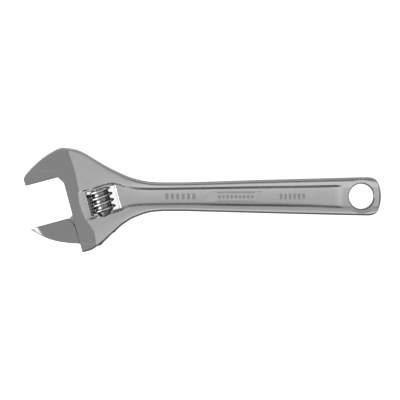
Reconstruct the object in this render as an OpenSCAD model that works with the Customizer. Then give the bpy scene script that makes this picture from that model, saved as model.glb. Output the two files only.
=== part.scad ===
// Adjustable wrench with a sliding jaw, a worm, the worm's pin and the worm's spring.
// Units are millimetres. The origin is the centre of the hanging hole at mid thickness.
// +X runs from the jaws to the hole, +Y is the fixed jaw's side, +Z is the front face.
// The head frame sits on the worm's centre: its +X points to the handle and its +Y is the
// way the movable jaw closes.

/* [Overall] */
// Distance from the hanging hole to the worm, along the handle
reach = 148.5; // [120:0.5:180]
// Angle between the jaw's sliding line and the handle's cross line
head_angle = 15; // [12:0.5:18]
// Thickness of the head
head_thick = 13.5; // [12.5:0.1:16]
// Thickness of the handle
handle_thick = 9; // [7.5:0.1:11]
// Thickness of the web between the handle's rims
web_thick = 5.6; // [4:0.1:6.8]
// Width of the handle at the hanging hole
handle_wide = 22; // [19:0.1:26]
// Width of the handle at its narrowest place
waist_wide = 16; // [13.5:0.1:19]
// Radius of the hanging hole
hole_radius = 7.25; // [5.8:0.05:8.7]

/* [Jaws] */
// Opening between the jaws as stored
jaw_open = 24.5; // [19.5:0.5:29]
// Depth of the jaws, from the guide to the fixed jaw's tip
jaw_deep = 22; // [18:0.5:26]
// Gap between the jaws when shut
shut_gap = 0.1; // [0.05:0.05:0.3]

/* [Worm and rack] */
// Outside radius of the worm
worm_radius = 7; // [6.4:0.1:7.6]
// Pitch of the worm's single thread
worm_pitch = 3.65; // [3.2:0.05:4.4]
// Length of the worm's thread
worm_long = 13.2; // [11:0.1:15]
// Radius of the rack
rack_radius = 4.2; // [3.9:0.05:4.5]
// Radius of the worm's pin
pin_radius = 2; // [1.6:0.05:2.2]
// Wire radius of the worm's spring
wire_radius = 0.25; // [0.2:0.05:0.3]

/* [Clearances] */
// Gap between sliding faces
slide_gap = 0.15; // [0.1:0.05:0.2]
// Radial gap between the worm and its pin
spin_gap = 0.06; // [0.03:0.01:0.1]

/* [Hidden] */
$fn = 64;
// Worm centre's height against the handle's middle line
worm_drop = -2.5;
// Thread depth and the worm's root radius
thread_deep = 2;
root_radius = worm_radius - thread_deep;
// Half widths of the thread at its crest and its root
crest_half = 0.15 * worm_pitch;
root_half = 0.35 * worm_pitch;
// Height of a thread crest on the rack's side, in the head frame
rack_phase = 1;
// Lead angle half way up the thread
lead_angle = atan(worm_pitch / (2 * PI * (worm_radius - 1)));
// Rack centre and the guide's front face, in the head frame
rack_x = -(worm_radius + rack_radius - 1.8);
guide_x = rack_x - 8.7;
nose_x = guide_x - jaw_deep;
// Jaw faces and the guide's lower corner, in the head frame
face_y = 19.6;
low_y = -25.8;
moving_y = face_y - jaw_open;
travel = jaw_open - shut_gap;
// The neck between jaw and rack
neck_half = 2.1;
neck_slope = 0.63;
neck_top = moving_y + 4.3;
rack_top = moving_y + 10.3;
// The rack's upper end is coned, so its bore ends clear of the head's outline
rack_cone = 1.8;
rack_low = moving_y - 19.5;
// The window around the worm
window_half = worm_long / 2 + 0.25;
window_right = worm_radius + 2;
window_left = -(worm_radius + 0.6);
thread_low = -worm_long / 2 + 0.1;
collar_long = 2.5;
collar_radius = root_radius - 0.8;
worm_low = thread_low - collar_long;
spring_pocket = 4;
spring_seat = worm_low - 0.3;
// The pin's head sits in a counterbore at the head's lower edge
pin_head_radius = 3;
pin_low = -19.4;
pin_shoulder = -16;
pin_top = 13;

// Points on the circle through three points, from the first up to but not with the last
function arc_centre(a, b, c) =
    let (p = b - a, q = c - a, d = 2 * cross(p, q))
    a + [q[1] * (p * p) - p[1] * (q * q), p[0] * (q * q) - q[0] * (p * p)] / d;
function arc_turn(start, stop, way) =
    way > 0 ? (stop - start + 720) % 360 : -((start - stop + 720) % 360);
function arc(a, b, c, steps) =
    let (m = arc_centre(a, b, c), r = norm(a - m))
    let (start = atan2(a[1] - m[1], a[0] - m[0]))
    let (stop = atan2(c[1] - m[1], c[0] - m[0]))
    let (sweep = arc_turn(start, stop, cross(b - a, c - a)))
    [for (i = [0 : steps - 1]) m + r * [cos(start + sweep * i / steps), sin(start + sweep * i / steps)]];

// Head frame to part frame
function from_head(p) = [
    -reach + p[0] * cos(head_angle) - p[1] * sin(head_angle),
    worm_drop + p[0] * sin(head_angle) + p[1] * cos(head_angle)
];
function all_from_head(points) = [for (p = points) from_head(p)];

module in_head_frame() {
    translate([-reach, worm_drop, 0]) rotate([0, 0, head_angle]) children();
}

// The worm's axis: local Z becomes the head frame's +Y
module on_worm_axis() {
    in_head_frame() rotate([-90, 0, 0]) children();
}

// Prism with its outline in the head frame's X and Z, running across the head
module across_head(points) {
    in_head_frame() rotate([90, 0, 0]) linear_extrude(height = 320, center = true) polygon(points);
}

// ---- Body outline ----

function head_upper() = concat(
    [[nose_x, face_y]],
    arc([nose_x, face_y + 3.2], [nose_x + 1.5, face_y + 5.9], [nose_x + 4.5, face_y + 8], 4),
    arc([nose_x + 4.5, face_y + 8], [guide_x - 9.2, face_y + 12.5], [guide_x + 1, face_y + 15.6], 8),
    arc([guide_x + 1, face_y + 15.6], [guide_x + 3.5, face_y + 15.8], [guide_x + 5.7, face_y + 15.1], 3),
    arc([guide_x + 5.7, face_y + 15.1], [guide_x + 11.9, face_y + 12.2], [guide_x + 19.4, face_y + 5.1], 7),
    [[guide_x + 19.4, face_y + 5.1]]
);

function head_lower() = concat(
    [[guide_x + 24.9, low_y + 9]],
    [[guide_x + 13.8, low_y + 3.1]],
    arc([guide_x + 8.6, low_y + 1], [guide_x + 6, low_y + 0.15], [guide_x + 3.5, low_y - 0.1], 3),
    [[guide_x + 3.5, low_y - 0.1]],
    [[guide_x, low_y]],
    [[guide_x, face_y - 4.8]],
    [[guide_x - 3, face_y]]
);

waist_half = waist_wide / 2;
end_half = handle_wide / 2;
waist_x = -reach + 38;

function upper_flare() = arc(
    from_head([guide_x + 22.9, face_y + 1.6]),
    [-reach + 16.6, waist_half + 2.8],
    [waist_x, waist_half],
    9
);

function lower_flare() = arc(
    [waist_x, -waist_half - 0.4],
    [-reach + 22.3, -waist_half - 2.7],
    [-reach + 10.9, -waist_half - 9],
    9
);

function handle_end() = concat(
    [[waist_x, waist_half]],
    arc([4, end_half], [7.9, end_half - 1], [9.6, end_half - 2.9], 4),
    arc([9.6, end_half - 2.9], [11.4, 0], [9.6, -end_half + 2.9], 12),
    arc([9.6, -end_half + 2.9], [7.9, -end_half + 1], [4, -end_half], 4),
    [[4, -end_half]]
);

function body_outline() = concat(
    all_from_head(head_upper()),
    upper_flare(),
    handle_end(),
    lower_flare(),
    all_from_head(head_lower())
);

// ---- Recess in both faces: thumb pocket, flare and handle panel ----

function recess_outline() = concat(
    all_from_head([[rack_x, 7.9], [window_right + 0.3, 7.8]]),
    arc([-reach + 12.4, 5.5], [-reach + 19, 4.2], [-reach + 28, waist_half - 3.9], 4),
    [[-reach + 28, waist_half - 3.9]],
    [[-9.6, end_half - 4.7]],
    [[-5.5, end_half - 4.6]],
    [[-5.5, -end_half + 4.6]],
    [[-9.6, -end_half + 4.7]],
    [[-reach + 28, -waist_half + 3.7]],
    [[-reach + 18.4, -4.7]],
    all_from_head([[window_right + 0.8, -7], [rack_x, -7.4]])
);

module recess() {
    web_half = web_thick / 2;
    ring_half = handle_thick / 2 - 0.5;
    intersection() {
        linear_extrude(height = 60, center = true) polygon(recess_outline());
        union() {
            for (side = [1, -1]) {
                across_head([
                    [rack_x, side * 20],
                    [rack_x, side * head_thick / 2],
                    [window_right, side * (web_half + 1)],
                    [24, side * web_half],
                    [34, side * web_half],
                    [34, side * 20]
                ]);
                rotate([90, 0, 0]) linear_extrude(height = 60, center = true) polygon([
                    [-reach + 22, side * 20],
                    [-reach + 22, side * web_half],
                    [-13, side * web_half],
                    [-9.3, side * ring_half],
                    [0, side * ring_half],
                    [0, side * 20]
                ]);
            }
        }
    }
}

// The pocket's lower wall leans out, so the worm's collar shows above it
module pocket_slope() {
    in_head_frame() translate([window_left - 0.4, 0, 0]) rotate([90, 0, 90])
        linear_extrude(height = window_right - window_left + 0.9)
            for (side = [1, -1]) {
                polygon([
                    [-window_half + 0.1, side * 2.4],
                    [-window_half - 2.2, side * 4.4],
                    [-window_half - 3.6, side * (head_thick / 2 + 0.1)],
                    [-window_half - 3.6, side * 20],
                    [-window_half + 0.1, side * 20]
                ]);
            }
}

// Blank bordered plate and two plain bars standing on the web, on both faces
module web_marks() {
    deep = web_thick + 0.7;
    translate([-72, -0.35, 0]) linear_extrude(height = deep, center = true) polygon([
        [-10.7, -1.2], [-9.3, -2.6], [9.3, -2.6], [10.7, -1.2],
        [10.7, 1.2], [9.3, 2.6], [-9.3, 2.6], [-10.7, 1.2]
    ]);
    for (spot = [[-104.2, 17], [-39.8, 15]]) {
        translate([spot[0], -0.4, 0]) cube([spot[1], 1.6, deep - 0.2], center = true);
    }
}

// ---- Body: handle, fixed jaw and guide in one forging ----

module hanging_hole() {
    ring_half = handle_thick / 2 - 0.5;
    rotate_extrude() polygon([
        [0, -20], [hole_radius + 1.5, -20], [hole_radius + 1.5, -ring_half],
        [hole_radius + 0.5, -ring_half], [hole_radius, -ring_half + 0.5],
        [hole_radius, ring_half - 0.5], [hole_radius + 0.5, ring_half],
        [hole_radius + 1.5, ring_half], [hole_radius + 1.5, 20], [0, 20]
    ]);
}

module rack_channel() {
    bore_radius = rack_radius + slide_gap + 0.05;
    bore_top = rack_top + travel + 0.3;
    on_worm_axis() translate([rack_x, 0, -60]) cylinder(r = bore_radius, h = 60 + bore_top - rack_cone);
    on_worm_axis() translate([rack_x, 0, bore_top - rack_cone])
        cylinder(r1 = bore_radius, r2 = bore_radius - rack_cone, h = rack_cone);
    top = neck_top + travel + 0.3;
    slant = neck_slope * (rack_radius + guide_x - rack_x) + top - 0.2;
    slot_half = neck_half + slide_gap;
    in_head_frame() linear_extrude(height = 2 * slot_half, center = true) polygon([
        [guide_x - 6, -60],
        [rack_x, -60],
        [rack_x, top - 0.2],
        [rack_x - rack_radius, top - 0.2],
        [guide_x, slant],
        [guide_x - 2.8, face_y - 0.02],
        [guide_x - 6, face_y - 0.02]
    ]);
}

module worm_window() {
    in_head_frame() translate([window_left, -window_half, -20])
        cube([window_right - window_left, 2 * window_half, 40]);
}

module pin_hole() {
    on_worm_axis() translate([0, 0, -30]) cylinder(r = pin_radius + 0.03, h = 30 + pin_top + 0.1);
    on_worm_axis() translate([0, 0, -40]) cylinder(r = pin_head_radius + 0.05, h = 40 + pin_shoulder);
    on_worm_axis() translate([0, 0, spring_seat]) cylinder(r = collar_radius + 0.15, h = -spring_seat);
}

module body() {
    color([0.72, 0.73, 0.74]) difference() {
        union() {
            difference() {
                intersection() {
                    linear_extrude(height = head_thick, center = true) polygon(body_outline());
                    across_head([
                        [-90, head_thick / 2],
                        [rack_x, head_thick / 2],
                        [22, handle_thick / 2],
                        [reach + 60, handle_thick / 2],
                        [reach + 60, -handle_thick / 2],
                        [22, -handle_thick / 2],
                        [rack_x, -head_thick / 2],
                        [-90, -head_thick / 2]
                    ]);
                }
                recess();
            }
            web_marks();
        }
        hanging_hole();
        rack_channel();
        worm_window();
        pocket_slope();
        pin_hole();
    }
}

// ---- Movable jaw: jaw, neck and rack in one piece ----

function jaw_outline() = concat(
    arc([nose_x - 3.1, moving_y - 0.9], [nose_x + 0.6, moving_y - 4.3], [nose_x + 3.4, moving_y - 6.8], 3),
    arc(
        [nose_x + 3.4, moving_y - 6.8],
        [guide_x - 10.5, moving_y - 11.8],
        [guide_x - slide_gap, moving_y - 15.6],
        7
    ),
    [[guide_x - slide_gap, moving_y - 15.6]],
    arc([guide_x - slide_gap, moving_y - 6.1], [guide_x - 1.3, moving_y - 2.6], [guide_x - 3.5, moving_y], 4),
    [[guide_x - 3.5, moving_y]],
    [[nose_x - 2.8, moving_y]]
);

module jaw_block() {
    half = head_thick / 2 - 0.05;
    intersection() {
        in_head_frame() linear_extrude(height = 2 * half, center = true) polygon(jaw_outline());
        across_head([
            [nose_x - 3.6, half - 3.4],
            [nose_x + 1.6, half],
            [0, half],
            [0, -half],
            [nose_x + 1.6, -half],
            [nose_x - 3.6, -half + 3.4]
        ]);
    }
}

module jaw_neck() {
    slant = neck_top - neck_slope * (rack_x - rack_radius - guide_x);
    in_head_frame() linear_extrude(height = 2 * neck_half, center = true) polygon([
        [guide_x - 5.5, slant - neck_slope * 5.5],
        [rack_x - rack_radius, neck_top],
        [rack_x, neck_top],
        [rack_x, rack_low],
        [rack_x - rack_radius, rack_low],
        [guide_x, moving_y - 16],
        [guide_x - 5.5, moving_y - 12]
    ]);
}

// Ring the thread leaves in the rack, set to the thread's lead angle
module rack_groove() {
    low = root_radius - 0.6;
    high = worm_radius + 0.2;
    flank = (root_half - crest_half) / thread_deep;
    wide_low = crest_half + flank * (worm_radius - low) + 0.12;
    wide_high = crest_half + flank * (worm_radius - high) + 0.12;
    rotate([-lead_angle, 0, 0]) rotate([-90, 0, 0]) rotate_extrude() polygon([
        [low, -wide_low],
        [high, -wide_high],
        [high, wide_high],
        [low, wide_low]
    ]);
}

module movable_jaw() {
    first = floor((rack_low - rack_phase) / worm_pitch) - 1;
    last = ceil((rack_top - rack_phase) / worm_pitch) + 1;
    color([0.66, 0.67, 0.68]) difference() {
        union() {
            jaw_block();
            jaw_neck();
            on_worm_axis() translate([rack_x, 0, rack_low])
                cylinder(r = rack_radius, h = rack_top - rack_low - rack_cone);
            on_worm_axis() translate([rack_x, 0, rack_top - rack_cone])
                cylinder(r1 = rack_radius, r2 = rack_radius - rack_cone, h = rack_cone);
        }
        for (k = [first : last]) {
            in_head_frame() translate([0, rack_phase + k * worm_pitch, 0]) rack_groove();
        }
    }
}

// ---- Worm with one right-hand thread ----

thread_columns = 40;
thread_turns = 7;
thread_rows = 4 * thread_turns + 1;
thread_start = rack_phase - worm_pitch / 2 - 4 * worm_pitch;
function thread_offset(j) = [-root_half, -crest_half, crest_half, root_half][j % 4];
function thread_radius(j) = [root_radius, worm_radius, worm_radius, root_radius][j % 4];
function thread_height(j) = thread_start + floor(j / 4) * worm_pitch + thread_offset(j);
function thread_point(i, j) = [
    thread_radius(j) * cos(360 * i / thread_columns),
    thread_radius(j) * sin(360 * i / thread_columns),
    thread_height(j) + worm_pitch * i / thread_columns
];
function thread_index(i, j) = i < thread_columns ? i * thread_rows + j : j + 4;

module thread_blank() {
    n = thread_columns;
    top = thread_rows - 1;
    low_end = n * thread_rows;
    high_end = low_end + 1;
    polyhedron(
        points = concat(
            [for (i = [0 : n - 1]) for (j = [0 : top]) thread_point(i, j)],
            [[0, 0, thread_height(0)]],
            [[0, 0, thread_height(top)]]
        ),
        faces = concat(
            [for (i = [0 : n - 1]) for (j = [0 : (i < n - 1 ? top - 1 : top - 5)])
                [thread_index(i, j), thread_index(i, j + 1), thread_index(i + 1, j + 1)]],
            [for (i = [0 : n - 1]) for (j = [0 : (i < n - 1 ? top - 1 : top - 5)])
                [thread_index(i, j), thread_index(i + 1, j + 1), thread_index(i + 1, j)]],
            [for (i = [0 : n - 1]) [low_end, thread_index(i, 0), thread_index(i + 1, 0)]],
            [for (j = [4 : -1 : 1]) [low_end, thread_index(0, j), thread_index(0, j - 1)]],
            [for (i = [0 : n - 2]) [high_end, thread_index(i + 1, top), thread_index(i, top)]],
            [for (j = [top : -1 : top - 3]) [high_end, thread_index(n - 1, j - 1), thread_index(n - 1, j)]],
            [[high_end, thread_index(0, top), thread_index(n - 1, top - 4)]]
        )
    );
}

module worm() {
    color([0.6, 0.6, 0.61]) on_worm_axis() difference() {
        union() {
            intersection() {
                thread_blank();
                translate([0, 0, thread_low]) cylinder(r = worm_radius + 2, h = worm_long);
            }
            translate([0, 0, worm_low]) cylinder(r = collar_radius, h = collar_long + 0.2);
        }
        translate([0, 0, -20]) cylinder(r = pin_radius + spin_gap, h = 40);
        translate([0, 0, worm_low - 1]) cylinder(r = pin_radius + 1.1, h = spring_pocket + 1);
    }
}

// ---- Pin the worm turns on ----

module worm_pin() {
    color([0.55, 0.55, 0.56]) on_worm_axis() difference() {
        rotate_extrude() polygon([
            [0, pin_low],
            [pin_head_radius - 0.3, pin_low],
            [pin_head_radius, pin_low + 0.3],
            [pin_head_radius, pin_shoulder - 0.05],
            [pin_radius, pin_shoulder - 0.05],
            [pin_radius, pin_top - 0.4],
            [pin_radius - 0.4, pin_top],
            [0, pin_top]
        ]);
        translate([-5, -0.4, pin_low - 1]) cube([10, 0.8, 2]);
    }
}

// ---- Spring that holds the worm against the window's upper wall ----

coil_turns = 4;
coil_steps = 14;
coil_sides = 6;
coil_radius = pin_radius + 0.62;
coil_low = spring_seat + 0.02 + wire_radius;
coil_high = worm_low + spring_pocket - 0.02 - wire_radius;
function coil_point(k, a) =
    let (turn = 360 * k / coil_steps, out = coil_radius + wire_radius * cos(360 * a / coil_sides))
    [
        out * cos(turn),
        out * sin(turn),
        coil_low + (coil_high - coil_low) * k / (coil_turns * coil_steps)
            + wire_radius * sin(360 * a / coil_sides)
    ];

module worm_spring() {
    count = coil_turns * coil_steps;
    s = coil_sides;
    color([0.45, 0.45, 0.46]) on_worm_axis() polyhedron(
        points = [for (k = [0 : count]) for (a = [0 : s - 1]) coil_point(k, a)],
        faces = concat(
            [for (k = [0 : count - 1]) for (a = [0 : s - 1])
                [k * s + a, k * s + (a + 1) % s, (k + 1) * s + (a + 1) % s]],
            [for (k = [0 : count - 1]) for (a = [0 : s - 1])
                [k * s + a, (k + 1) * s + (a + 1) % s, (k + 1) * s + a]],
            [[for (a = [s - 1 : -1 : 0]) a]],
            [[for (a = [0 : s - 1]) count * s + a]]
        )
    );
}

body();
movable_jaw();
worm();
worm_pin();
worm_spring();
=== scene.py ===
import math

import bpy
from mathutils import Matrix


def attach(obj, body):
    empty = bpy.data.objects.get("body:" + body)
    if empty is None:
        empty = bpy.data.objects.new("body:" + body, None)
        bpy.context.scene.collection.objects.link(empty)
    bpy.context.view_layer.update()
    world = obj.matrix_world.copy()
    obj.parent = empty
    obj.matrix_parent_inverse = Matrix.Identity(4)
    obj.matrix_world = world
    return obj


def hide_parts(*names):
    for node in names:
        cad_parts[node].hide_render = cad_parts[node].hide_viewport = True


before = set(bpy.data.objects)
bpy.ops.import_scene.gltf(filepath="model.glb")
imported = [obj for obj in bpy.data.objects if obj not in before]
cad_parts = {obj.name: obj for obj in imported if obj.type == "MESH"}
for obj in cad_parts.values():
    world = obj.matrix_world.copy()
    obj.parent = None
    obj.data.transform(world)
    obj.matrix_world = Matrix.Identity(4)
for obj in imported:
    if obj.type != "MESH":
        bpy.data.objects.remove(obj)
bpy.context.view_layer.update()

# Sizes are in millimetres until a piece's points are written in metres
MM = 0.001

# The head's own frame: its origin is the worm's middle, turned from the handle
REACH = 148.5
WORM_DROP = -2.5
HEAD_TURN = math.radians(15)

# Head and jaws
GROUND_LEVEL = 6.75
RACK_X = -9.4
GUIDE_X = -18.1
NOSE_X = -40.1
FIXED_FACE = 19.6
MOVING_FACE = -4.9
WINDOW_HALF = 6.85
WINDOW_LEFT = -7.6
WINDOW_RIGHT = 9.0
WEB_LEVEL = 2.8

# Rack and neck
RACK_RADIUS = 4.2
RACK_TOP = MOVING_FACE + 10.3
RACK_LOW = MOVING_FACE - 19.5
NECK_TOP = MOVING_FACE + 4.3
NECK_SLOPE = 0.63
NECK_HALF = 2.1
CHANNEL_RADIUS = 4.4
CHANNEL_TOP = 30.1
SLOT_HALF = 2.25

# Worm, pin and spring
PITCH = 3.65
RACK_PHASE = 1.0
WORM_RADIUS = 7.0
ROOT_RADIUS = 5.0
COLLAR_RADIUS = 4.2
THREAD_LOW = -6.5
THREAD_HIGH = 6.7
COLLAR_LOW = -9.0
WORM_BORE = 2.06
SPRING_CUP = -5.0
SPRING_SEAT = -9.3
PIN_RADIUS = 2.0
PIN_BORE = 2.03
PIN_HEAD = 3.0
PIN_SEAT = -16.0
PIN_END = 13.0


# ---- Places ----

def from_head(hx, hy):
    """Head frame to the part's frame."""
    c, s = math.cos(HEAD_TURN), math.sin(HEAD_TURN)
    return (-REACH + hx * c - hy * s, WORM_DROP + hx * s + hy * c)


def to_head(x, y):
    """The part's frame to the head frame."""
    c, s = math.cos(HEAD_TURN), math.sin(HEAD_TURN)
    dx, dy = x + REACH, y - WORM_DROP
    return (dx * c + dy * s, dy * c - dx * s)


def head_point(hx, hy, z):
    return (*from_head(hx, hy), z)


def axis_point(x, y, along):
    """A point beside the worm's axis, along runs the way the jaw closes."""
    return head_point(x, along, -y)


def smooth_curve(points):
    """A curve through points that never overshoots them, flat beyond its ends."""
    xs = [p[0] for p in points]
    ys = [p[1] for p in points]
    rise = [(ys[i + 1] - ys[i]) / (xs[i + 1] - xs[i]) for i in range(len(xs) - 1)]
    slope = [rise[0]]
    for a, b in zip(rise, rise[1:]):
        slope.append(2 * a * b / (a + b) if a * b > 0 else 0.0)
    slope.append(rise[-1])

    def value(x):
        if x <= xs[0]:
            return ys[0]
        if x >= xs[-1]:
            return ys[-1]
        i = max(k for k in range(len(xs) - 1) if xs[k] <= x)
        h = xs[i + 1] - xs[i]
        t = (x - xs[i]) / h
        a = (2 * t**3 - 3 * t**2 + 1) * ys[i] + (3 * t**2 - 2 * t**3) * ys[i + 1]
        b = (t**3 - 2 * t**2 + t) * slope[i] + (t**3 - t**2) * slope[i + 1]
        return a + h * b
    return value


def ease(t):
    """A share from 0 to 1 with soft starts and stops."""
    t = min(max(t, 0.0), 1.0)
    return t * t * t * (t * (6 * t - 15) + 10)


def spread(a, b, count):
    """Evenly spaced values from a to b."""
    return [a + (b - a) * i / (count - 1) for i in range(count)]


# ---- Making and joining pieces ----

def clear_selection():
    if bpy.context.object and bpy.context.object.mode != "OBJECT":
        bpy.ops.object.mode_set(mode="OBJECT")
    bpy.ops.object.select_all(action="DESELECT")


def pick(piece):
    """Makes a piece the only selected one."""
    clear_selection()
    bpy.context.view_layer.objects.active = piece
    piece.select_set(True)


def skin(name, rows, material):
    """A grid drawn over rows of points, its seams merged and its ends filled."""
    clear_selection()
    across, down = len(rows[0]) - 1, len(rows) - 1
    bpy.ops.mesh.primitive_grid_add(x_subdivisions=across, y_subdivisions=down, size=2)
    piece = bpy.context.object
    piece.name = name
    for corner in piece.data.vertices:
        i = round((corner.co.x + 1) / 2 * across)
        j = round((corner.co.y + 1) / 2 * down)
        corner.co = [c * MM for c in rows[j][i]]
    piece.data.materials.append(material)
    bpy.ops.object.mode_set(mode="EDIT")
    bpy.ops.mesh.select_all(action="SELECT")
    bpy.ops.mesh.remove_doubles(threshold=0.002 * MM)
    bpy.ops.mesh.fill_holes(sides=0)
    bpy.ops.mesh.normals_make_consistent(inside=False)
    bpy.ops.object.mode_set(mode="OBJECT")
    return piece


def ring(points):
    """The points with the first one again at the end."""
    return list(points) + [points[0]]


def turned(name, profile, material, place=axis_point, steps=64):
    """A turned shape from (radius, along) points, about the worm's axis or another."""
    rows = []
    for radius, along in profile:
        angles = [2 * math.pi * i / steps for i in range(steps)]
        rows.append(ring([place(radius * math.cos(a), radius * math.sin(a), along) for a in angles]))
    return skin(name, rows, material)


def widened(outline, amount):
    """The outline moved outwards, for an outline that runs counter-clockwise."""
    moved = []
    count = len(outline)
    for i, (x, y) in enumerate(outline):
        ax, ay = outline[i - 1]
        bx, by = outline[(i + 1) % count]
        ux, uy = x - ax, y - ay
        vx, vy = bx - x, by - y
        lu, lv = math.hypot(ux, uy), math.hypot(vx, vy)
        nx, ny = uy / lu + vy / lv, -ux / lu - vx / lv
        fit = 1 + (ux * vx + uy * vy) / (lu * lv)
        moved.append((x + amount * nx / fit, y + amount * ny / fit))
    return moved


def plate(name, outline, levels, material, place=head_point):
    """A plate from an outline and (height, widening) levels."""
    rows = []
    for z, wide in levels:
        rows.append(ring([place(x, y, z) for x, y in widened(outline, wide)]))
    return skin(name, rows, material)


def boolean(piece, tool, operation="DIFFERENCE"):
    """Cuts a piece with a tool, or joins them, and removes the tool."""
    pick(piece)
    step = piece.modifiers.new("cut", "BOOLEAN")
    step.operation = operation
    step.solver = "EXACT"
    step.material_mode = "TRANSFER"
    step.object = tool
    bpy.ops.object.modifier_apply(modifier=step.name)
    bpy.data.objects.remove(tool, do_unlink=True)


def seal(piece):
    """Closes the slivers that a cut leaves behind."""
    pick(piece)
    bpy.ops.object.mode_set(mode="EDIT")
    bpy.ops.mesh.select_all(action="SELECT")
    bpy.ops.mesh.remove_doubles(threshold=0.002 * MM)
    bpy.ops.mesh.dissolve_degenerate(threshold=0.001 * MM)
    bpy.ops.mesh.select_all(action="SELECT")
    bpy.ops.mesh.fill_holes(sides=0)
    bpy.ops.mesh.normals_make_consistent(inside=False)
    bpy.ops.object.mode_set(mode="OBJECT")


def finish_piece(piece, body, slot, *nodes, angle=32):
    """Smooths a piece, leaves its flat faces flat, ties it to its body and hides the nodes it stands in for.
    """
    pick(piece)
    bpy.ops.object.shade_smooth_by_angle(angle=math.radians(angle))
    shine = piece.modifiers.new("flat_faces_stay_flat", "WEIGHTED_NORMAL")
    shine.keep_sharp = True
    for step in list(piece.modifiers):
        bpy.ops.object.modifier_apply(modifier=step.name)
    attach(piece, body)
    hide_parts(*nodes)


# ---- Shader pieces ----

def add_node(tree, kind, **settings):
    """A node with its settings, and in_NAME or in_NUMBER for its inputs."""
    made = tree.nodes.new(kind)
    for key, value in settings.items():
        if key.startswith("in_"):
            name = key[3:].replace("_", " ")
            made.inputs[int(name) if name.isdigit() else name].default_value = value
        else:
            setattr(made, key, value)
    return made


def math_node(tree, operation, a, b=None, c=None):
    made = tree.nodes.new("ShaderNodeMath")
    made.operation = operation
    for socket, value in zip(made.inputs, (a, b, c)):
        if value is None:
            continue
        if isinstance(value, (int, float)):
            socket.default_value = value
        else:
            tree.links.new(value, socket)
    return made.outputs[0]


def new_group(name, inputs, outputs):
    tree = bpy.data.node_groups.new(name, "ShaderNodeTree")
    for label, value in inputs:
        socket = tree.interface.new_socket(name=label, in_out="INPUT", socket_type="NodeSocketFloat")
        socket.default_value = value
    for label in outputs:
        tree.interface.new_socket(name=label, in_out="OUTPUT", socket_type="NodeSocketFloat")
    return tree, tree.nodes.new("NodeGroupInput"), tree.nodes.new("NodeGroupOutput")


def place_group(tree, group):
    made = tree.nodes.new("ShaderNodeGroup")
    made.node_tree = group
    return made


def blasted_group():
    """Fine grain and slow clouding of a bead-blasted, plated surface."""
    tree, given, out = new_group(
        "blasted_surface",
        [("Grain Scale", 5200.0), ("Cloud Scale", 260.0)],
        ["Grain", "Cloud"],
    )
    where = tree.nodes.new("ShaderNodeTexCoord")
    grain = add_node(tree, "ShaderNodeTexNoise", in_Detail=3.0, in_Roughness=0.6)
    cloud = add_node(tree, "ShaderNodeTexNoise", in_Detail=4.0, in_Roughness=0.55)
    for tex, label, name in ((grain, "Grain Scale", "Grain"), (cloud, "Cloud Scale", "Cloud")):
        tree.links.new(where.outputs["Object"], tex.inputs["Vector"])
        tree.links.new(given.outputs[label], tex.inputs["Scale"])
        tree.links.new(tex.outputs["Fac"], out.inputs[name])
    return tree


def ground_group():
    """Long fine lines left by a grinding belt, and a few deeper scratches."""
    tree, given, out = new_group(
        "ground_surface",
        [("Line Scale", 2600.0), ("Scratch Scale", 420.0)],
        ["Lines", "Scratches"],
    )
    where = tree.nodes.new("ShaderNodeTexCoord")
    turn = tree.nodes.new("ShaderNodeMapping")
    turn.inputs["Rotation"].default_value = (0, 0, -HEAD_TURN)
    turn.inputs["Scale"].default_value = (0.03, 1, 0.3)
    tree.links.new(where.outputs["Object"], turn.inputs["Vector"])
    lines = add_node(tree, "ShaderNodeTexNoise", in_Detail=4.0, in_Roughness=0.7)
    marks = add_node(tree, "ShaderNodeTexNoise", in_Detail=2.0, in_Roughness=0.4)
    for tex, label in ((lines, "Line Scale"), (marks, "Scratch Scale")):
        tree.links.new(turn.outputs[0], tex.inputs["Vector"])
        tree.links.new(given.outputs[label], tex.inputs["Scale"])
    deep = add_node(tree, "ShaderNodeMapRange", in_1=0.64, in_2=0.72)
    tree.links.new(marks.outputs["Fac"], deep.inputs["Value"])
    tree.links.new(lines.outputs["Fac"], out.inputs["Lines"])
    tree.links.new(deep.outputs[0], out.inputs["Scratches"])
    return tree


def edge_sheen_and_corner_shade_group():
    """Edges brightened by rub wear and a painted highlight, and inner corners darkened by painted shade."""
    tree, given, out = new_group("edge_wear_sheen_and_corner_shade", [("Sharpness", 1.0)], ["Edge", "Corner"])
    shape = tree.nodes.new("ShaderNodeNewGeometry")
    # Convex edges get a painted highlight with some rub wear; concave corners get painted shade.
    edge = add_node(tree, "ShaderNodeMapRange", in_1=0.53, in_2=0.6)
    corner = add_node(tree, "ShaderNodeMapRange", in_1=0.47, in_2=0.4)
    for ramp, name in ((edge, "Edge"), (corner, "Corner")):
        tree.links.new(shape.outputs["Pointiness"], ramp.inputs["Value"])
        scaled = math_node(tree, "MULTIPLY", ramp.outputs[0], given.outputs["Sharpness"])
        tree.links.new(scaled, out.inputs[name])
    return tree


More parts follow.
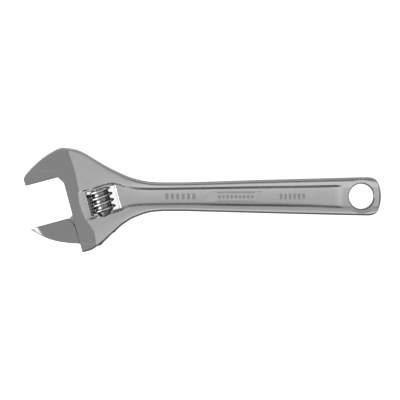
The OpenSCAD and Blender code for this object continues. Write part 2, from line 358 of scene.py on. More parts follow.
def thread_oil_and_shade_group():
    """A mask for the darkening deep in the worm's thread and on its collar: oily residue with painted shade.
    """
    tree, given, out = new_group("thread_oil_and_painted_shade", [("Patch Scale", 700.0)], ["Deep", "Collar"])
    where = tree.nodes.new("ShaderNodeTexCoord")
    middle = [c * MM for c in head_point(0, 0, 0)]
    moved = add_node(tree, "ShaderNodeVectorMath", operation="SUBTRACT", in_1=middle)
    turn = add_node(tree, "ShaderNodeVectorRotate", rotation_type="Z_AXIS", in_Angle=-HEAD_TURN)
    split = tree.nodes.new("ShaderNodeSeparateXYZ")
    tree.links.new(where.outputs["Object"], moved.inputs[0])
    tree.links.new(moved.outputs[0], turn.inputs["Vector"])
    tree.links.new(turn.outputs[0], split.inputs[0])
    across = math_node(tree, "POWER", split.outputs["X"], 2.0)
    total = math_node(tree, "ADD", across, math_node(tree, "POWER", split.outputs["Z"], 2.0))
    radius = math_node(tree, "SQRT", total)
    patch = tree.nodes.new("ShaderNodeTexNoise")
    tree.links.new(where.outputs["Object"], patch.inputs["Vector"])
    tree.links.new(given.outputs["Patch Scale"], patch.inputs["Scale"])
    radius = math_node(tree, "MULTIPLY_ADD", patch.outputs["Fac"], 0.0006, radius)
    deep = add_node(tree, "ShaderNodeMapRange", in_1=0.0069, in_2=0.0057, in_3=0.0, in_4=0.7)
    tree.links.new(radius, deep.inputs["Value"])
    tree.links.new(deep.outputs[0], out.inputs["Deep"])
    collar = add_node(tree, "ShaderNodeMapRange", in_1=-0.0063, in_2=-0.0066)
    tree.links.new(split.outputs["Y"], collar.inputs["Value"])
    tree.links.new(collar.outputs[0], out.inputs["Collar"])
    return tree


BLASTED = blasted_group()
THREAD_OIL_AND_SHADE = thread_oil_and_shade_group()
GROUND = ground_group()
EDGE_SHEEN_AND_CORNER_SHADE = edge_sheen_and_corner_shade_group()


def mix_value(tree, factor, a, b):
    """a where factor is 0 and b where it is 1."""
    span = math_node(tree, "SUBTRACT", b, a)
    return math_node(tree, "MULTIPLY_ADD", factor, span, a)


def mix_color(tree, factor, a, b):
    made = tree.nodes.new("ShaderNodeMix")
    made.data_type = "RGBA"
    for socket, value in ((made.inputs[0], factor), (made.inputs[6], a), (made.inputs[7], b)):
        if isinstance(value, (int, float, tuple)):
            socket.default_value = value
        else:
            tree.links.new(value, socket)
    return made.outputs[2]


def new_material(name, tint):
    made = bpy.data.materials.new(name)
    made.use_nodes = True
    made.diffuse_color = (*tint, 1)
    shader = made.node_tree.nodes["Principled BSDF"]
    shader.inputs["Metallic"].default_value = 1.0
    return made, made.node_tree, shader


def steel(
    name, light, dark, rough, line=0.0, grain=0.0,
    ground_level=None, ground=None, soft=0.016, thread_darkening=False, edge_brightening=1.0,
):
    """Metal with blasted grain, grinding lines, edges brightened by rub wear and a painted highlight, and
    inner corners darkened by painted shade.

    ground is (colour, roughness) of the belt-ground face above ground_level, which
    fades out over soft; that face's darker tone is partly the bare steel's own and partly a painted dark
    reflection.
    The worm's darkening setting darkens the metal close to the worm's axis with oily residue and painted
    shade, and the edge setting is how far the edges brighten with rub wear and a painted highlight."""
    made, tree, shader = new_material(name, light)
    blast = place_group(tree, BLASTED)
    belt = place_group(tree, GROUND)
    edges = place_group(tree, EDGE_SHEEN_AND_CORNER_SHADE)
    edge_brightening_mask = math_node(tree, "MULTIPLY", edges.outputs["Edge"], edge_brightening)
    colour = mix_color(tree, blast.outputs["Cloud"], (*dark, 1), (*light, 1))
    rough_base = mix_value(tree, blast.outputs["Cloud"], rough * 0.9, rough * 1.12)
    grain_height = math_node(tree, "MULTIPLY", blast.outputs["Grain"], grain)
    line_height = math_node(tree, "MULTIPLY", belt.outputs["Lines"], line)
    if ground:
        where = tree.nodes.new("ShaderNodeTexCoord")
        split = tree.nodes.new("ShaderNodeSeparateXYZ")
        tree.links.new(where.outputs["Object"], split.inputs[0])
        height = math_node(tree, "ABSOLUTE", split.outputs["Z"])
        level = add_node(tree, "ShaderNodeMapRange")
        level.inputs[1].default_value = (ground_level - 0.004 - soft) * MM
        level.inputs[2].default_value = (ground_level - 0.004) * MM
        tree.links.new(height, level.inputs["Value"])
        mask = level.outputs[0]
        # The ground face's dark tone is partly the bare steel's own and partly a painted dark reflection.
        shade, shade_rough = ground
        dim = tuple(0.93 * c for c in shade) + (1,)
        bright = tuple(min(1.15 * c, 1) for c in shade) + (1,)
        tone = mix_color(tree, belt.outputs["Lines"], dim, (*shade, 1))
        tone = mix_color(tree, belt.outputs["Scratches"], tone, bright)
        colour = mix_color(tree, mask, colour, tone)
        rough_ground = mix_value(tree, belt.outputs["Lines"], shade_rough * 0.85, shade_rough * 1.2)
        rough_base = mix_value(tree, mask, rough_base, rough_ground)
        keep = math_node(tree, "SUBTRACT", 1.0, mask)
        grain_height = math_node(tree, "MULTIPLY", grain_height, keep)
        line_height = math_node(tree, "MULTIPLY", line_height, mask)
        edge_brightening_mask = math_node(tree, "MULTIPLY", edge_brightening_mask, keep)
    if thread_darkening:
        roots = place_group(tree, THREAD_OIL_AND_SHADE)
        # Painted shade with oily residue: thread roots and collar mixed towards dark grey.
        colour = mix_color(tree, roots.outputs["Deep"], colour, (0.2, 0.2, 0.2, 1))
        colour = mix_color(tree, roots.outputs["Collar"], colour, (0.2, 0.2, 0.2, 1))
        rough_base = mix_value(tree, roots.outputs["Collar"], rough_base, 0.4)
    # Painted highlight with some rub wear: convex edges mixed towards pale grey.
    colour = mix_color(tree, edge_brightening_mask, colour, (0.86, 0.86, 0.86, 1))
    # Painted shade: inner corners mixed towards a darker grey.
    colour = mix_color(tree, edges.outputs["Corner"], colour, tuple(0.55 * c for c in dark) + (1,))
    bump = add_node(tree, "ShaderNodeBump", in_Strength=0.5, in_Distance=1.0)
    total = math_node(tree, "ADD", grain_height, line_height)
    tree.links.new(total, bump.inputs["Height"])
    tree.links.new(bump.outputs[0], shader.inputs["Normal"])
    tree.links.new(colour, shader.inputs["Base Color"])
    tree.links.new(rough_base, shader.inputs["Roughness"])
    return made


# Its ground-face tone is partly bare steel's own and partly a painted dark reflection.
PLATED = steel(
    "satin_chrome", (0.82, 0.82, 0.815), (0.76, 0.76, 0.76), 0.27, line=0.0000015, grain=0.0000035,
    ground_level=GROUND_LEVEL, ground=((0.46, 0.46, 0.465), 0.22),
)
MACHINED = steel("machined_steel", (0.60, 0.60, 0.605), (0.52, 0.52, 0.52), 0.28, line=0.000003)
# Its ground-face tone is partly bare steel's own and partly a painted dark reflection.
JAW_STEEL = steel(
    "ground_jaw_steel", (0.74, 0.74, 0.74), (0.66, 0.66, 0.66), 0.28, line=0.0000015, grain=0.000003,
    ground_level=GROUND_LEVEL - 0.05, ground=((0.44, 0.44, 0.445), 0.22), soft=1.1,
)
# The raised marks are a darker grey as painted shade, with no edge brightening.
MARK_STEEL = steel(
    "painted_shade_mark_steel", (0.56, 0.56, 0.56), (0.44, 0.44, 0.44), 0.3, grain=0.000003, edge_brightening=0.0,
)
# The rack's dark grey is partly its oily film and partly painted shade in the channel.
RACK_STEEL = steel("oily_and_painted_shade_rack_steel", (0.34, 0.34, 0.34), (0.24, 0.24, 0.24), 0.3, line=0.000002)
WORM_STEEL = steel(
    "polished_worm_steel", (0.86, 0.86, 0.85), (0.76, 0.75, 0.74), 0.12, line=0.000001, thread_darkening=True,
)
PIN_STEEL = steel("turned_pin_steel", (0.60, 0.60, 0.60), (0.50, 0.50, 0.50), 0.25, line=0.000002)
SPRING_STEEL = steel("spring_wire_steel", (0.45, 0.45, 0.45), (0.36, 0.36, 0.36), 0.3, line=0.000001)


# ---- Body: the forged blank ----

upper_head = smooth_curve([
    (-40.1, 22.8), (-39.6, 24.25), (-38.6, 25.45), (-35.6, 27.6), (-31.5, 30.0), (-27.3, 32.1), (-22.1, 34.0),
    (-17.1, 35.2), (-14.6, 35.35), (-12.4, 34.7), (-6.2, 31.8), (-2.3, 28.6), (1.3, 24.8), (5.1, 20.85),
    (9, 17.05),
])
lower_head = smooth_curve([
    (-18.1, -25.8), (-14.5, -25.9), (-12.2, -25.6), (-9.5, -24.85), (-4.3, -22.7), (-1.4, -21.1), (4, -18.3),
    (6.8, -16.85), (9, -15.9),
])
upper_side = smooth_curve([
    (-144.3, 16.35), (-139.9, 14.2), (-136, 12.4), (-131.9, 10.8), (-126.2, 9.25), (-120.5, 8.3), (-112, 8.0),
    (-103, 8.02), (-92, 8.3), (-57.8, 9.4), (-12.2, 10.6), (0, 10.95), (4, 11.0), (6.3, 10.7), (7.9, 10.0),
    (9.0, 8.9), (9.6, 8.05),
])
lower_side = smooth_curve([
    (-135.8, -15.65), (-133.4, -14.1), (-131.9, -13.1), (-129, -11.8), (-126.2, -10.7), (-120.5, -9.1),
    (-112, -8.45), (-103, -8.45), (-92, -8.7), (-57.8, -9.6), (-23.6, -10.45), (0, -10.95), (4, -11.0),
    (6.3, -10.7), (7.9, -10.0), (9.0, -8.9), (9.6, -8.05),
])
# Where each line of the fan between head and handle meets the two sides
upper_fan = smooth_curve([
    (0, -144.26), (1, -140.5), (2, -136.5), (3, -132), (4, -127.5), (5, -123), (6, -118.5), (7, -114),
])
lower_fan = smooth_curve([
    (0, -135.75), (1, -133.4), (2, -130.8), (3, -127.8), (4, -124.6), (5, -121.2), (6, -117.7), (7, -114),
])
crest_height = smooth_curve([
    (-45, 7.0), (-14, 6.97), (-10.6, 6.76), (-6, 6.5), (0, 6.1), (7, 5.55), (14, 5.02), (20, 4.7),
    (27, 4.52), (34, 4.5),
])
ground_shift = smooth_curve([(-16, 1.7), (-9, 0.4), (-4, 0), (12, 0), (34, -0.2)])
floor_height = smooth_curve([
    (-14.5, 6.97), (-12.9, 6.78), (-11.4, 6.6), (-10.2, 6.34), (-8.2, 5.6), (-4, 4.9), (3, 4.2), (9, 3.65),
    (16, 3.1), (24, 2.82), (30, WEB_LEVEL),
])
floor_rise = smooth_curve([(-15.5, 0), (-13.2, 0.3), (-11, 0.72), (-9.2, 0.88), (-7.5, 0.9)])
upper_wall = smooth_curve([
    from_head(-45, 8.3), from_head(-14, 8.1), from_head(-4, 7.95), from_head(8.6, 7.8), (-138.8, 6.7),
    (-136.1, 5.72), (-132, 4.88), (-128.1, 4.4), (-120.8, 4.2), (-100, 4.45), (-60, 5.1), (-32, 5.45),
    (-20, 5.75), (-8, 5.95), (0, 5.95),
])
lower_wall = smooth_curve([
    from_head(-45, -8.1), from_head(-14, -8.1), from_head(-4, -8.0), from_head(8.6, -7.6), (-134.1, -5.7),
    (-130.1, -4.95), (-125, -4.5), (-120.8, -4.3), (-100, -4.1), (-60, -4.25), (-32, -4.95), (-20, -5.5),
    (-8, -5.9), (0, -5.9),
])
upper_wall_half = smooth_curve([
    (-150, 0.62), (-141, 0.7), (-134, 0.85), (-126, 0.98), (-100, 1.0), (-60, 1.08), (-32, 1.15), (-12, 0.9),
])
lower_wall_half = smooth_curve([
    (-150, 1.0), (-138, 0.95), (-130, 0.9), (-100, 0.95), (-80, 1.3), (-60, 1.45), (-32, 1.2), (-20, 1.0),
    (-8, 0.85),
])
end_bulge = smooth_curve([(-9, 0), (-3, 0.12), (3, 0.75), (7, 1.5), (9.6, 1.8)])

# How wide the rounded sides are
upper_edge = smooth_curve([
    (-200, 1.3), (-176, 1.5), (-160, 1.9), (-140, 2.1), (-120, 2.2), (-60, 2.35), (0, 2.3),
])
lower_edge = smooth_curve([(-200, 1.2), (-150, 1.3), (-120, 1.1), (0, 1.1)])
END_EDGE = 1.5
NOSE_EDGE = 0.8
NOSE_START = NOSE_X + 0.2
HANDLE_END = 9.57
FAR = 99
# How far round the side, in degrees, the first mark on its edge is
FIRST_TURN = 24


def edge_drop(distance, wide, tall):
    """How far the rounded side falls at a distance from the outline."""
    t = min(max(distance / wide, 0.0), 1.0)
    return tall * (1 - math.sqrt(1 - (1 - t) ** 2))


def upper_wall_shape(t):
    """A straight slope, rounded at its top and its foot."""
    t = min(max(t, 0.0), 1.0)
    turn, far = 0.18, 1 - abs(2 * t - 1)
    if far / 2 < turn:
        low = (far / 2) ** 2 / (2 * turn * (1 - turn))
    else:
        low = (far / 2 - turn / 2) / (1 - turn)
    return low if t < 0.5 else 1 - low


def lower_wall_shape(t):
    """Steep below the rim, then flattening slowly into the floor."""
    t = min(max(t, 0.0), 1.0)
    t = 1.05 * t * t / (t + 0.05)
    return 1 - (1 - t) ** 2.2


def station_ends():
    """The lower and upper outline points of each line across the blank, how far it
    bows out and how far it is from the nose."""
    lines = []
    head = [NOSE_START + NOSE_EDGE * (1 - math.cos(math.radians(a))) for a in range(10, 96, 10)]
    head += spread(head[-1] + 0.7, -20, 26)
    head += spread(-19.4, 8.6, 64)
    for hx in head:
        low = lower_head(hx) if hx > GUIDE_X else lower_head(GUIDE_X)
        lines.append((from_head(hx, low), from_head(hx, upper_head(hx)), 0.0, hx - NOSE_X))
    for q in spread(0, 7, 46):
        low_x, high_x = lower_fan(q), upper_fan(q)
        lines.append(((low_x, lower_side(low_x)), (high_x, upper_side(high_x)), 0.0, FAR))
    handle = spread(-113.2, -16, 110) + spread(-15.4, 7.0, 58)
    handle += [9.5 - 2.5 * (1 - math.sin(math.radians(a))) for a in range(8, 90, 9)]
    for x in handle:
        lines.append(((x, lower_side(x)), (x, upper_side(x)), end_bulge(x), FAR))
    return lines


def across_line(low, high, wall):
    """Where a wall's line crosses the line from low to high, as a share of it."""
    t = 0.5
    for _ in range(8):
        x = low[0] + t * (high[0] - low[0])
        t = (wall(x) - low[1]) / (high[1] - low[1])
    return t


def line_marks(length, low_edge, low_top, low_foot, high_foot, high_top, high_edge):
    """Places across the blank, close together on the rims and the recess's walls."""
    degrees = (FIRST_TURN, 32, 39, 46, 52, 58, 64, 70, 75, 80, 85, 90)
    turns = [1 - math.cos(math.radians(a)) for a in degrees]
    marks = [low_edge * t for t in turns]
    marks += spread(low_edge, low_top, 7)[1:-1]
    shares = (0, 0.03, 0.07, 0.12, 0.2, 0.3, 0.4, 0.5, 0.62, 0.74, 0.87, 1)
    marks += [low_top + (low_foot - low_top) * t for t in shares]
    marks += spread(low_foot, high_foot, 13)[1:-1]
    marks += spread(high_foot, high_top, 12)
    marks += spread(high_top, length - high_edge, 7)[1:-1]
    return marks + [length - high_edge * t for t in reversed(turns)]


def side_inset(share):
    """How far the rounded side is in from the outline, below the lowest mark."""
    return 1 - math.sqrt(1 - (share * math.sin(math.radians(FIRST_TURN))) ** 2)


def rim_crown(distance, width):
    """The rim's slight crown, as a drop below its middle."""
    t = 2 * distance / width - 1
    return 0.3 * min(abs(t), 1) ** 1.3 * min(1, 3.4 / width)


def blank_rows():
    rows = []
    lines = station_ends()
    for low, high, bulge, from_tip in lines:
        length = math.dist(low, high)
        dx, dy = (high[0] - low[0]) / length, (high[1] - low[1]) / length
        low_t = across_line(low, high, lower_wall)
        high_t = across_line(low, high, upper_wall)
        wall_x = low[0] + low_t * (high[0] - low[0])
        low_half, high_half = lower_wall_half(wall_x), upper_wall_half(wall_x)
        low_top, low_foot = low_t * length - low_half, low_t * length + low_half
        high_foot, high_top = high_t * length - high_half, high_t * length + high_half
        low_edge, high_edge = lower_edge(low[0]), upper_edge(high[0])
        top = []
        for a in line_marks(length, low_edge, low_top, low_foot, high_foot, high_top, high_edge):
            t = a / length
            bow = bulge * (1 - (2 * t - 1) ** 2)
            x, y = low[0] + dx * a + bow, low[1] + dy * a
            hx, hy = to_head(x, y)
            crest = crest_height(hx - ground_shift(hy))
            floor = floor_height(hx) + floor_rise(x)
            inside = lower_wall_shape((a - low_top) / (low_foot - low_top))
            inside *= upper_wall_shape((high_top - a) / (high_top - high_foot))
            dish = 0.1 * min(1, (2 * (a - low_foot) / (high_foot - low_foot) - 1) ** 2)
            z = crest - inside * (crest - floor - dish)
            if a < low_top:
                z -= rim_crown(a, low_top)
            elif a > high_top:
                z -= rim_crown(length - a, length - high_top)
            else:
                z -= 0.3 * min(1, 3.4 / (length - high_top if t > 0.5 else low_top)) * (1 - inside)
            to_end = HANDLE_END - low[0]
            drop = max(
                edge_drop(a, low_edge, z), edge_drop(length - a, high_edge, z),
                edge_drop(from_tip - 0.22, NOSE_EDGE, 2.0), edge_drop(to_end, END_EDGE, z),
            )
            top.append((x, y, z - drop))
        edge_high, edge_low = top[-1][2], top[0][2]
        high_side, low_side = [], []
        for share in (0.62, 0.3, 0.0, -0.3, -0.62):
            inset = side_inset(share)
            in_high, in_low = high_edge * inset, low_edge * inset
            high_side.append((high[0] - dx * in_high, high[1] - dy * in_high, edge_high * share))
            low_side.append((low[0] + dx * in_low, low[1] + dy * in_low, -edge_low * share))
        under = [(x, y, -z) for x, y, z in reversed(top)]
        rows.append(ring(top + high_side + under + low_side))
    # The nose and the handle's end close on the middle plane
    first, last = rows[0], rows[-1]
    nose_x, nose_y = math.cos(HEAD_TURN), math.sin(HEAD_TURN)
    rows.insert(0, [(x - 0.01 * nose_x, y - 0.01 * nose_y, 0.5 * z) for x, y, z in first])
    rows.insert(0, [(x - 0.014 * nose_x, y - 0.014 * nose_y, 0.0) for x, y, z in first])
    rows.append([(x + 0.06, y, 0.5 * z) for x, y, z in last])
    rows.append([(x + 0.08, y, 0.0) for x, y, z in last])
    return rows


body = skin("wrench_body", blank_rows(), PLATED)

# ---- Body: flat ground faces of the head ----

slab = [(-230, -60), (-110, -60), (-110, 60), (-230, 60)]


def upright(x, y, along):
    return (x, y, along)


for side in (-1, 1):
    low, high = sorted((side * GROUND_LEVEL, side * 12))
    boolean(body, plate("belt_grinding", slab, [(low, 0), (high, 0)], PLATED, upright))

# ---- Body: cuts ----

flare = [(-9, 1.6), (-7.9, 1.15), (-6.45, 0), (6.45, 0), (7.9, 1.15), (9, 1.6)]
mouth = [
    (NOSE_X - 20, FIXED_FACE), (NOSE_X - 20, -60), (GUIDE_X, -60), (GUIDE_X, FIXED_FACE - 4.6),
    (GUIDE_X - 0.35, FIXED_FACE - 3.6), (GUIDE_X - 2.3, FIXED_FACE - 0.6), (GUIDE_X - 3.1, FIXED_FACE),
]
boolean(body, plate("mouth_tool", mouth, flare, MACHINED))


def rounded_box(left, right, low, high, radius, steps=5):
    points = []
    for cx, cy, start in ((right, high, 0), (left, high, 90), (left, low, 180), (right, low, 270)):
        px = cx - math.copysign(radius, cx - (left + right) / 2)
        py = cy - math.copysign(radius, cy - (low + high) / 2)
        for i in range(steps + 1):
            a = math.radians(start + 90 * i / steps)
            points.append((px + radius * math.cos(a), py + radius * math.sin(a)))
    return points


def window_rows():
    rows = []
    levels = [(0.0, -0.9), (0.1, -0.5), (0.42, -0.16), (1.0, 0.12), (1.4, 3.0)]
    for side in (-1, 1):
        order = reversed(levels) if side < 0 else levels
        for wide, lift in order:
            outline = rounded_box(
                WINDOW_LEFT - 0.4 * wide, WINDOW_RIGHT + 0.9 * wide,
                -WINDOW_HALF - 0.4 * wide, WINDOW_HALF + 0.35 * wide, 0.5 + 0.3 * wide,
            )
            row = []
            for x, y in outline:
                row.append(head_point(x, y, side * (floor_height(x) + lift)))
            rows.append(ring(row))
    return rows


boolean(body, skin("window_tool", window_rows(), PLATED))


def channel_place(x, y, along):
    return axis_point(x + RACK_X, y, along)


boolean(body, turned("channel_tool", [
    (0, -60), (CHANNEL_RADIUS, -60), (CHANNEL_RADIUS, CHANNEL_TOP - 1.9), (2.6, CHANNEL_TOP),
    (0, CHANNEL_TOP)], MACHINED, channel_place, 72))
slot = [
    (GUIDE_X - 6, -60), (RACK_X, -60), (RACK_X, 23.9), (RACK_X - RACK_RADIUS, 23.9),
    (GUIDE_X, 21.1), (GUIDE_X - 2.8, FIXED_FACE - 0.02), (GUIDE_X - 6, FIXED_FACE - 0.02),
]
boolean(body, plate("slot_tool", slot, [(-SLOT_HALF, 0), (SLOT_HALF, 0)], MACHINED))
head_room, collar_room = PIN_HEAD + 0.05, COLLAR_RADIUS + 0.15
boolean(body, turned("pin_tool", [
    (0, -40), (head_room, -40), (head_room, PIN_SEAT), (PIN_BORE, PIN_SEAT), (PIN_BORE, SPRING_SEAT),
    (collar_room, SPRING_SEAT), (collar_room, -3), (PIN_BORE, -3), (PIN_BORE, PIN_END - 0.6),
    (1.6, PIN_END + 0.1), (0, PIN_END + 0.1)], MACHINED))


def relief_place(x, y, along):
    return head_point(x - 0.2, y - 5.2, along)


for side in (-1, 1):
    boolean(body, turned("collar_relief_tool", [
        (0, side * 1.2), (3.9, side * 1.2), (3.9, side * 4.0), (4.15, side * 4.5), (4.15, side * 9),
        (0, side * 9)], MACHINED, relief_place))


hole = [
    (7.25, 3.0), (7.33, 3.25), (7.5, 3.5), (7.75, 3.72), (8.05, 3.87), (8.5, 3.97), (9.1, 4.16), (9.9, 4.52),
    (10.8, 5.1), (10.8, 20), (0, 20),
]
boolean(body, turned("hole_tool", [(r, -z) for r, z in reversed(hole)] + hole, PLATED, upright, 96))

# ---- Body: blank raised plate and plain bars on the web ----


def raised(name, outline, height, slope, material=PLATED):
    """A low flat shape standing on the web of both faces."""
    top = WEB_LEVEL + height
    levels = [(2.4, slope + 0.05), (WEB_LEVEL, slope), (top - 0.25 * height, 0.25 * slope), (top, 0)]
    for side in (-1, 1):
        made = plate(name, outline, [(side * z, w) for z, w in levels], material, upright)
        boolean(body, made, "UNION")


raised("blank_platform", [(-90.6, -2.55), (-60.6, -2.55), (-57.2, 2.75), (-85.8, 2.75)], 0.13, 0.22)
for y in (2.15, -2.75):
    raised("border_line", rounded_box(-82.5, -60.9, y - 0.16, y + 0.16, 0.12, 2), 0.46, 0.12, MARK_STEEL)
for i in range(9):
    x = -81.2 + 2.35 * i
    lozenge = [(x - 0.85, -0.35), (x, -1.55), (x + 0.85, -0.35), (x, 0.85)]
    raised("plain_lozenge", lozenge, 0.4, 0.12, MARK_STEEL)
for start, count, step, long in ((-112.3, 6, 3.1, 1.7), (-46.9, 6, 2.6, 1.5)):
    for i in range(count):
        x = start + step * i
        raised("plain_bar", rounded_box(x, x + long, -1.6, 1.4, 0.3, 3), 0.3, 0.12, MARK_STEEL)

finish_piece(body, "wrench", "body", "body", angle=25)

# ---- Movable jaw ----

jaw_top = [
    (NOSE_X - 2.7, MOVING_FACE), (NOSE_X - 3.03, MOVING_FACE - 0.5), (NOSE_X - 2.5, MOVING_FACE - 1.3),
    (NOSE_X + 0.6, MOVING_FACE - 4.3), (NOSE_X + 3.4, MOVING_FACE - 6.8), (NOSE_X + 5.4, MOVING_FACE - 8.3),
    (NOSE_X + 7.4, MOVING_FACE - 9.6), (NOSE_X + 9.4, MOVING_FACE - 10.7),
    (NOSE_X + 11.6, MOVING_FACE - 11.8), (NOSE_X + 13.8, MOVING_FACE - 12.75),
    (NOSE_X + 16, MOVING_FACE - 13.6), (NOSE_X + 18.6, MOVING_FACE - 14.55),
    (GUIDE_X - 0.15, MOVING_FACE - 15.6), (GUIDE_X - 0.15, MOVING_FACE - 6.1),
    (GUIDE_X - 0.5, MOVING_FACE - 4.4), (GUIDE_X - 1.3, MOVING_FACE - 2.6),
    (GUIDE_X - 2.4, MOVING_FACE - 1.0), (GUIDE_X - 3.5, MOVING_FACE),
]
half = GROUND_LEVEL - 0.05
levels = [(half, -0.45), (half - 0.06, -0.26), (half - 0.18, -0.1), (half - 0.4, 0)]
levels = [(-z, w) for z, w in levels] + list(reversed(levels))
jaw = plate("sliding_jaw", jaw_top, levels, JAW_STEEL)


def bevel_nose(piece):
    """Rolls the jaw's nose over, thinner towards its tip."""
    near, far = (-38.4, MOVING_FACE), (-36.9, MOVING_FACE - 5.4)
    run, rise = far[0] - near[0], far[1] - near[1]
    size = math.hypot(run, rise)
    normal = (rise / size, -run / size)
    c, s = math.cos(HEAD_TURN), math.sin(HEAD_TURN)
    way = (normal[0] * c - normal[1] * s, normal[0] * s + normal[1] * c, 0)
    spot = from_head(*near)
    pick(piece)
    bpy.ops.object.mode_set(mode="EDIT")
    for shift in (0, 0.3, 0.6, 0.95, 1.35, 1.8, 2.3, 2.8, 3.4, 4.1):
        bpy.ops.mesh.select_all(action="SELECT")
        place = [(spot[0] + way[0] * shift) * MM, (spot[1] + way[1] * shift) * MM, 0]
        bpy.ops.mesh.bisect(plane_co=place, plane_no=way)
    bpy.ops.object.mode_set(mode="OBJECT")
    for corner in piece.data.vertices:
        hx, hy = to_head(corner.co.x / MM, corner.co.y / MM)
        beyond = (hx - near[0]) * normal[0] + (hy - near[1]) * normal[1]
        if beyond > 0.01:
            corner.co.z *= 1 - 0.016 * beyond ** 1.8


bevel_nose(jaw)
neck_line = NECK_TOP - NECK_SLOPE * (RACK_X - RACK_RADIUS - GUIDE_X)
neck = [
    (GUIDE_X - 5.5, neck_line - NECK_SLOPE * 5.5), (GUIDE_X - 5.5, MOVING_FACE - 12),
    (GUIDE_X, MOVING_FACE - 16),
    (RACK_X - RACK_RADIUS, RACK_LOW + 1.2), (RACK_X, RACK_LOW + 0.4), (RACK_X, NECK_TOP),
    (RACK_X - RACK_RADIUS, NECK_TOP),
]
boolean(jaw, plate("neck", neck, [(-NECK_HALF, 0), (NECK_HALF, 0)], MACHINED), "UNION")
rack = turned("rack", [
    (0, RACK_LOW), (2.7, RACK_LOW), (3.4, RACK_LOW + 0.2), (3.9, RACK_LOW + 0.6),
    (RACK_RADIUS, RACK_LOW + 1.3),
    (RACK_RADIUS, RACK_TOP - 2.1),
    (4.05, RACK_TOP - 1.8), (2.5, RACK_TOP), (0, RACK_TOP)], RACK_STEEL, channel_place, 72)
lead = math.atan(PITCH / (2 * math.pi * 6))
for k in range(-8, 3):
    middle = RACK_PHASE + k * PITCH
    if not RACK_LOW - 2 < middle < RACK_TOP + 2:
        continue

    def tilted(x, y, along):
        z, c, s = -y, math.cos(lead), math.sin(lead)
        return head_point(x, middle + along * c + z * s, z * c - along * s)

    groove = []
    for share in spread(0, 1, 5):
        radius = 4.4 + 2.8 * share
        groove.append((radius, 1.53 - 0.93 * share + 0.06 * math.sin(math.pi * share)))
    ring_points = [(r, -w) for r, w in groove] + [(r, w) for r, w in reversed(groove)]
    steps = 72
    rows = []
    for i in range(steps + 1):
        a = 2 * math.pi * i / steps
        rows.append(ring([tilted(r * math.cos(a), r * math.sin(a), w) for r, w in ring_points]))
    boolean(rack, skin("groove_tool", rows, RACK_STEEL))
boolean(jaw, rack, "UNION")
finish_piece(jaw, "jaw", "movable_jaw", "movable_jaw")

# ---- Worm ----


def thread_radius(share):
    """Radius over one pitch, the crest at share 0 and the root at 0.5."""
    away = abs((share + 0.5) % 1 - 0.5) * PITCH
    crest, root = 0.3, 1.32
    fall = ease((away - crest) / (root - crest)) if away > crest else 0
    round_top = 0.06 * min(away / crest, 1) ** 2
    return WORM_RADIUS - round_top - (WORM_RADIUS - ROOT_RADIUS - 0.06) * fall


def worm_rows():
    columns, per_turn, turns = 72, 22, 6
    start = RACK_PHASE - PITCH / 2 - 3 * PITCH
    rows = []
    for j in range(per_turn * turns + 1):
        share = j / per_turn
        row = []
        for i in range(columns + 1):
            a = 2 * math.pi * i / columns
            radius = thread_radius(share)
            along = start + PITCH * (share + i / columns)
            row.append(axis_point(radius * math.cos(a), radius * math.sin(a), along))
        rows.append(row)
    return rows


worm = skin("thumb_worm", worm_rows(), WORM_STEEL)
boolean(worm, turned("worm_envelope", [
    (0, COLLAR_LOW), (COLLAR_RADIUS - 0.3, COLLAR_LOW), (COLLAR_RADIUS - 0.08, COLLAR_LOW + 0.1),
    (COLLAR_RADIUS, COLLAR_LOW + 0.32), (COLLAR_RADIUS, THREAD_LOW), (5.6, THREAD_LOW),
    (6.5, THREAD_LOW + 0.35), (WORM_RADIUS + 0.05, THREAD_LOW + 0.95),
    (WORM_RADIUS + 0.05, THREAD_HIGH - 0.95), (6.5, THREAD_HIGH - 0.35), (5.6, THREAD_HIGH),
    (0, THREAD_HIGH)], WORM_STEEL, steps=96), "INTERSECT")
boolean(worm, turned("worm_bore", [
    (0, -12), (3.25, -12), (3.25, COLLAR_LOW), (3.1, COLLAR_LOW + 0.15), (3.1, SPRING_CUP),
    (WORM_BORE, SPRING_CUP), (WORM_BORE, THREAD_HIGH - 0.2),
    (2.4, THREAD_HIGH + 0.05), (2.4, 9), (0, 9)], WORM_STEEL, steps=48))
seal(worm)
finish_piece(worm, "worm", "worm", "worm", angle=40)

# ---- Pin and spring ----

pin = turned("pin", [
    (0, -19.4), (2.5, -19.4), (2.85, -19.3), (PIN_HEAD, -19.05), (PIN_HEAD, PIN_SEAT - 0.2),
    (2.85, PIN_SEAT - 0.05), (PIN_RADIUS, PIN_SEAT - 0.05), (PIN_RADIUS, PIN_END - 0.5), (1.6, PIN_END),
    (0, PIN_END)], PIN_STEEL)
slot_box = rounded_box(-0.4, 0.4, -5, 5, 0.05, 1)


def slot_place(x, y, along):
    return axis_point(y, x, along)


boolean(pin, plate("pin_slot", slot_box, [(-24, 0), (-18.4, 0)], PIN_STEEL, slot_place))
finish_piece(pin, "wrench", "worm_pin", "worm_pin")

coil = []
turns, per_turn, wire, coil_radius = 4, 32, 0.25, 2.62
low, high = SPRING_SEAT + 0.02 + wire, SPRING_CUP - 0.02 - wire
for k in range(turns * per_turn + 1):
    a = 2 * math.pi * k / per_turn
    climb = low + (high - low) * k / (turns * per_turn)
    loop = []
    for i in range(10):
        b = 2 * math.pi * i / 10
        out = coil_radius + wire * math.cos(b)
        loop.append(axis_point(out * math.cos(a), out * math.sin(a), climb + wire * math.sin(b)))
    coil.append(ring(loop))
spring = skin("spring", coil, SPRING_STEEL)
finish_piece(spring, "wrench", "worm_spring", "worm_spring", angle=60)

# ---- Floor, light and camera, in metres ----

FLOOR_GREY = (0.12, 0.12, 0.12)
CARD_GREY = (0.6, 0.6, 0.6)
FLOOR_GLOW = 0.04
MIDDLE = (-0.0923, -0.0021)
SENSOR_WIDTH = 36
CAMERA_HEIGHT = 1.25
FACE_HEIGHT = 0.0068
VIEW_WIDTH = 0.228


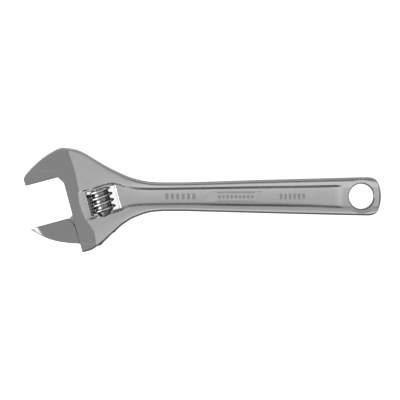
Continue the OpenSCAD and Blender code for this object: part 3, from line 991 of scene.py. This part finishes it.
def make_floor():
    """White to the eye and a softer grey in reflections, so it throws no glare."""
    clear_selection()
    bpy.ops.mesh.primitive_plane_add(size=6, location=(-0.09, 0, -0.0071))
    floor = bpy.context.object
    floor.name = "floor"
    paper = bpy.data.materials.new("white_paper")
    paper.use_nodes = True
    tree = paper.node_tree
    shader = tree.nodes["Principled BSDF"]
    shader.inputs["Roughness"].default_value = 0.9
    shader.inputs["Emission Color"].default_value = (1, 1, 1, 1)
    seen = tree.nodes.new("ShaderNodeLightPath")
    where = tree.nodes.new("ShaderNodeTexCoord")
    split = tree.nodes.new("ShaderNodeSeparateXYZ")
    tree.links.new(where.outputs["Object"], split.inputs[0])
    card = add_node(tree, "ShaderNodeMapRange", in_1=-0.01, in_2=0.01)
    tree.links.new(split.outputs["Y"], card.inputs["Value"])
    paper_tone = mix_color(tree, card.outputs[0], (*FLOOR_GREY, 1), (*CARD_GREY, 1))
    tone = mix_color(tree, seen.outputs["Is Camera Ray"], paper_tone, (0.9, 0.9, 0.9, 1))
    tree.links.new(tone, shader.inputs["Base Color"])
    glow = mix_value(tree, seen.outputs["Is Camera Ray"], FLOOR_GLOW, 0.85)
    tree.links.new(glow, shader.inputs["Emission Strength"])
    floor.data.materials.append(paper)


def soft_box(name, place, target, width, height, power):
    """A soft lamp at a place, turned to face the target."""
    clear_selection()
    bpy.ops.object.light_add(type="AREA", location=place)
    lamp = bpy.context.object
    lamp.name = name
    lamp.data.shape = "RECTANGLE"
    lamp.data.size = width
    lamp.data.size_y = height
    lamp.data.energy = power
    away = [t - p for t, p in zip(target, place)]
    flat = math.hypot(away[0], away[1])
    lamp.rotation_euler = (math.atan2(flat, -away[2]), 0, math.atan2(away[1], away[0]) - math.pi / 2)


def make_world():
    """Pale to the eye; for reflections bright above, leaning to one side, dark low down."""
    world = bpy.data.worlds.new("studio")
    bpy.context.scene.world = world
    world.use_nodes = True
    tree = world.node_tree
    back = tree.nodes["Background"]
    where = tree.nodes.new("ShaderNodeTexCoord")
    split = tree.nodes.new("ShaderNodeSeparateXYZ")
    tree.links.new(where.outputs["Generated"], split.inputs[0])
    height = tree.nodes.new("ShaderNodeValToRGB")
    height.name = "height"
    side = tree.nodes.new("ShaderNodeValToRGB")
    side.name = "side"
    stops = (
        (height, ((0.0, 0.03), (0.3, 0.09), (0.52, 0.5), (0.7, 0.78), (0.95, 0.72), (1.0, 0.52))),
        (side, ((0.0, 0.6), (0.25, 1.0), (0.42, 1.0), (0.5, 0.9), (0.6, 0.62), (0.75, 0.47), (1.0, 0.4))),
    )
    for ramp, points in stops:
        stop = ramp.color_ramp.elements
        while len(stop) < len(points):
            stop.new(0.5)
        for made, (where_at, tone) in zip(stop, points):
            made.position = where_at
            made.color = (tone, tone, tone, 1)
    tree.links.new(split.outputs["Z"], height.inputs[0])
    tree.links.new(math_node(tree, "MULTIPLY_ADD", split.outputs["Y"], 0.5, 0.5), side.inputs[0])
    glow = math_node(tree, "MULTIPLY", height.outputs[0], side.outputs[0])
    seen = tree.nodes.new("ShaderNodeLightPath")
    strength = mix_value(tree, seen.outputs["Is Camera Ray"], glow, 1.0)
    back.inputs["Color"].default_value = (1, 1, 1, 1)
    tree.links.new(strength, back.inputs["Strength"])


make_floor()
make_world()
soft_box("jaw_soft_box", (-0.40, -0.03, 0.24), (-0.18, 0, 0), 0.18, 0.18, 0.3)
soft_box("low_soft_box", (-0.44, -0.02, 0.11), (-0.15, 0, 0.005), 0.14, 0.1, 0.15)
bpy.context.scene.view_settings.view_transform = "Standard"

clear_selection()
bpy.ops.object.camera_add(location=(*MIDDLE, CAMERA_HEIGHT), rotation=(0, 0, 0))
camera = bpy.context.object
camera.data.sensor_width = SENSOR_WIDTH
camera.data.lens = SENSOR_WIDTH * (CAMERA_HEIGHT - FACE_HEIGHT) / VIEW_WIDTH
bpy.context.scene.camera = camera
